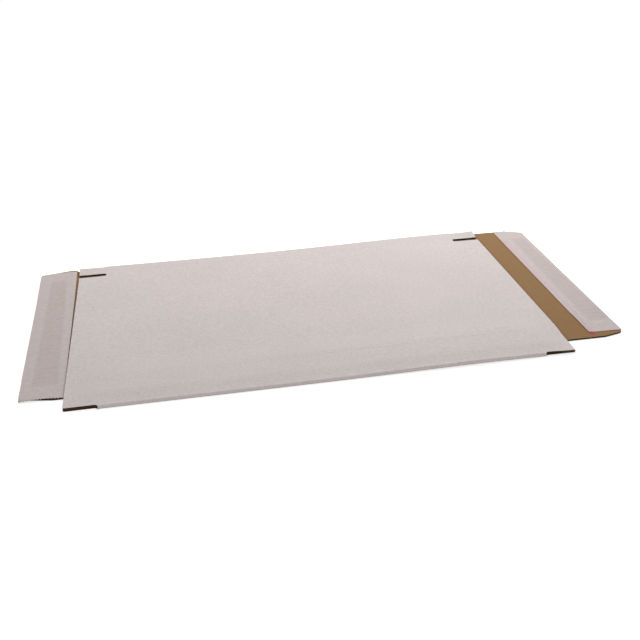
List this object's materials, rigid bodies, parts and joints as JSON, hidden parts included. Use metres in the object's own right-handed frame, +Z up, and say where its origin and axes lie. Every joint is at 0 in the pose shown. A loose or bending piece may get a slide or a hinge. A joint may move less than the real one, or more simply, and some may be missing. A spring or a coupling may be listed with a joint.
{
  "type": "letterbox mailer box",
  "caption": "Flat-packed corrugated letterbox mailer: a glued, folded tube of thin board with a hinged closure flap at each end, peel-off liners and a tear tape.",
  "frame": {"origin": "middle of the sleeve, on the underside of the bottom panel", "axes": "+X towards the end with the tear tape, +Y from the front fold to the back fold, +Z up, out of the top panel"},
  "size_m": [0.4867, 0.2686, 0.0047],
  "materials": {
    "white_board": "uncoated white-lined corrugated board",
    "kraft_board": "uncoated brown kraft board",
    "adhesive": "pressure-sensitive adhesive film",
    "liner_paper": "thin siliconised paper, slightly translucent",
    "tear_tape": "red tear-open film tape"
  },
  "bodies": {
    "sleeve": {"box_sleeve": "white_board"},
    "left_flap": {"left_closure_flap": "kraft_board", "left_adhesive_strip": "adhesive", "left_release_liner": "liner_paper"},
    "right_wall": {"right_end_wall": "kraft_board"},
    "right_flap": {"right_closure_flap": "kraft_board", "tear_tape": "tear_tape", "right_adhesive_strip": "adhesive", "right_release_liner": "liner_paper"}
  },
  "joints": [
    {"name": "left_flap_crease", "type": "hinge", "parent": "sleeve", "child": "left_flap", "pos_m": [-0.20195, 0, 0.0015], "axis": [0, 1, 0], "range_deg": [0, 90]},
    {"name": "right_wall_crease", "type": "hinge", "parent": "sleeve", "child": "right_wall", "pos_m": [0.20195, 0, 0.0015], "axis": [0, -1, 0], "range_deg": [0, 90]},
    {"name": "right_flap_crease", "type": "hinge", "parent": "right_wall", "child": "right_flap", "pos_m": [0.2212, 0, 0.0015], "axis": [0, -1, 0], "range_deg": [0, 90]}
  ]
}
